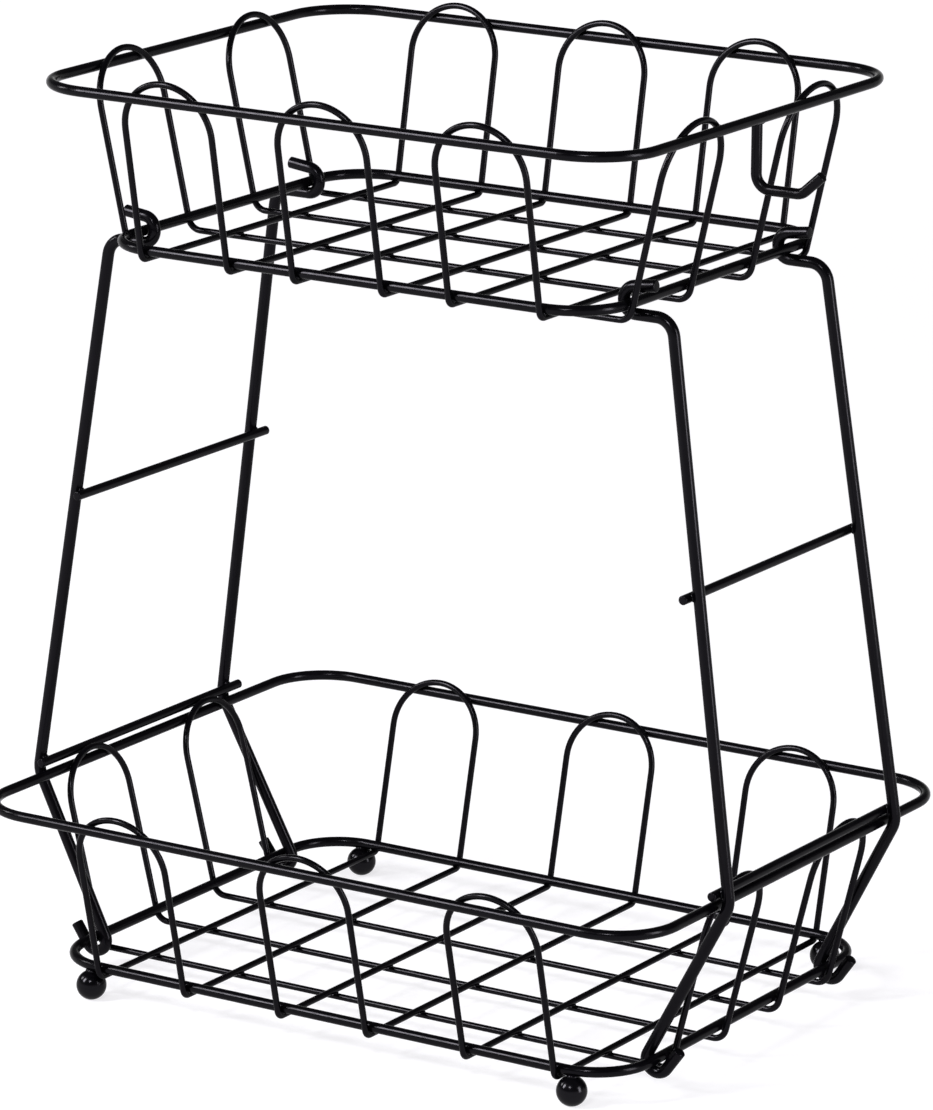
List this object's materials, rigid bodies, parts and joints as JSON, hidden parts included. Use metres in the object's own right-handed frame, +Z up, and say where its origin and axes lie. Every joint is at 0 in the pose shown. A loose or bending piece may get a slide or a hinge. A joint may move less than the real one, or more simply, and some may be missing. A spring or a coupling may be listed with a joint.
{
  "type": "tiered wire basket",
  "caption": "Free-standing countertop fruit basket of black bent wire: a smaller basket hung on hooked side frames above a larger one on ball feet, with a side hook for bananas.",
  "frame": {"origin": "on the floor, midway between the four ball feet", "axes": "+Z up, +X to the right along the long side towards the banana hook, front at -Y"},
  "size_m": [0.378, 0.2808, 0.4358],
  "materials": {
    "ring_coat": "satin black coat on steel wire",
    "hoop_coat": "satin black coat on thin steel wire",
    "frame_coat": "satin black coat on thick steel wire",
    "ball_coat": "semi-gloss black coat on steel balls"
  },
  "bodies": {
    "stand": {"ball_foot_back_left": "ball_coat", "ball_foot_back_right": "ball_coat", "ball_foot_front_left": "ball_coat", "ball_foot_front_right": "ball_coat", "left_back_leg": "frame_coat", "left_front_leg": "frame_coat", "left_middle_bar": "frame_coat", "left_rim_bar": "frame_coat", "lower_base_ring": "ring_coat", "lower_cross_hoop_left": "hoop_coat", "lower_cross_hoop_middle": "hoop_coat", "lower_cross_hoop_right": "hoop_coat", "lower_long_hoop_back": "hoop_coat", "lower_long_hoop_front": "hoop_coat", "lower_rim": "ring_coat", "right_back_leg": "frame_coat", "right_front_leg": "frame_coat", "right_middle_bar": "frame_coat", "right_rim_bar": "frame_coat"},
    "upper_basket": {"banana_hook": "frame_coat", "upper_base_ring": "ring_coat", "upper_cross_hoop_left": "hoop_coat", "upper_cross_hoop_middle": "hoop_coat", "upper_cross_hoop_right": "hoop_coat", "upper_long_hoop_back": "hoop_coat", "upper_long_hoop_front": "hoop_coat", "upper_rim": "ring_coat"}
  },
  "joints": [
    {"name": "upper_basket_lift", "type": "slide", "parent": "stand", "child": "upper_basket", "axis": [0, 0, 1], "range_m": [0, 0.0013]}
  ]
}
